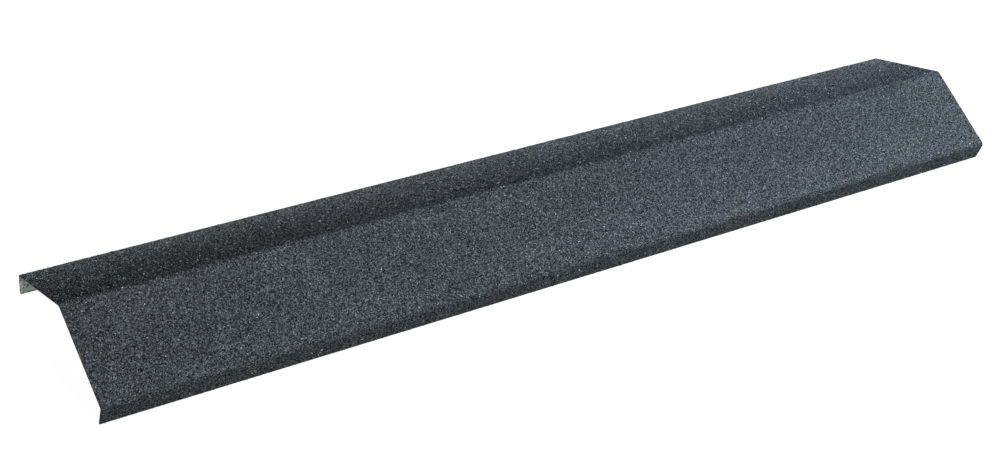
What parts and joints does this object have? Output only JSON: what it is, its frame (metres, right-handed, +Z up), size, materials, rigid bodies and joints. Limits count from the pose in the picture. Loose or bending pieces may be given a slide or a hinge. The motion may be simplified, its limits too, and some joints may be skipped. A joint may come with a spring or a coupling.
{
  "type": "roof ridge cap",
  "caption": "Folded sheet ridge cap: two equal sloping wings meet at a ridge fold, each with a turned-down edge lip; stone-chip coated outside, it covers a roof ridge.",
  "frame": {"origin": "on the floor under the middle of the cap, midway between its two lips and its two ends", "axes": "+X along the ridge, +Y across it to the back wing, +Z up through the ridge fold"},
  "size_m": [1.25, 0.2174, 0.0707],
  "materials": {
    "stone_coat": "matt charcoal stone chips bonded over the outer face",
    "primed_steel": "satin grey-green primer on the sheet's underside, specked with stray coating"
  },
  "bodies": {
    "root": {"ridge_cap": "stone_coat"}
  },
  "joints": []
}
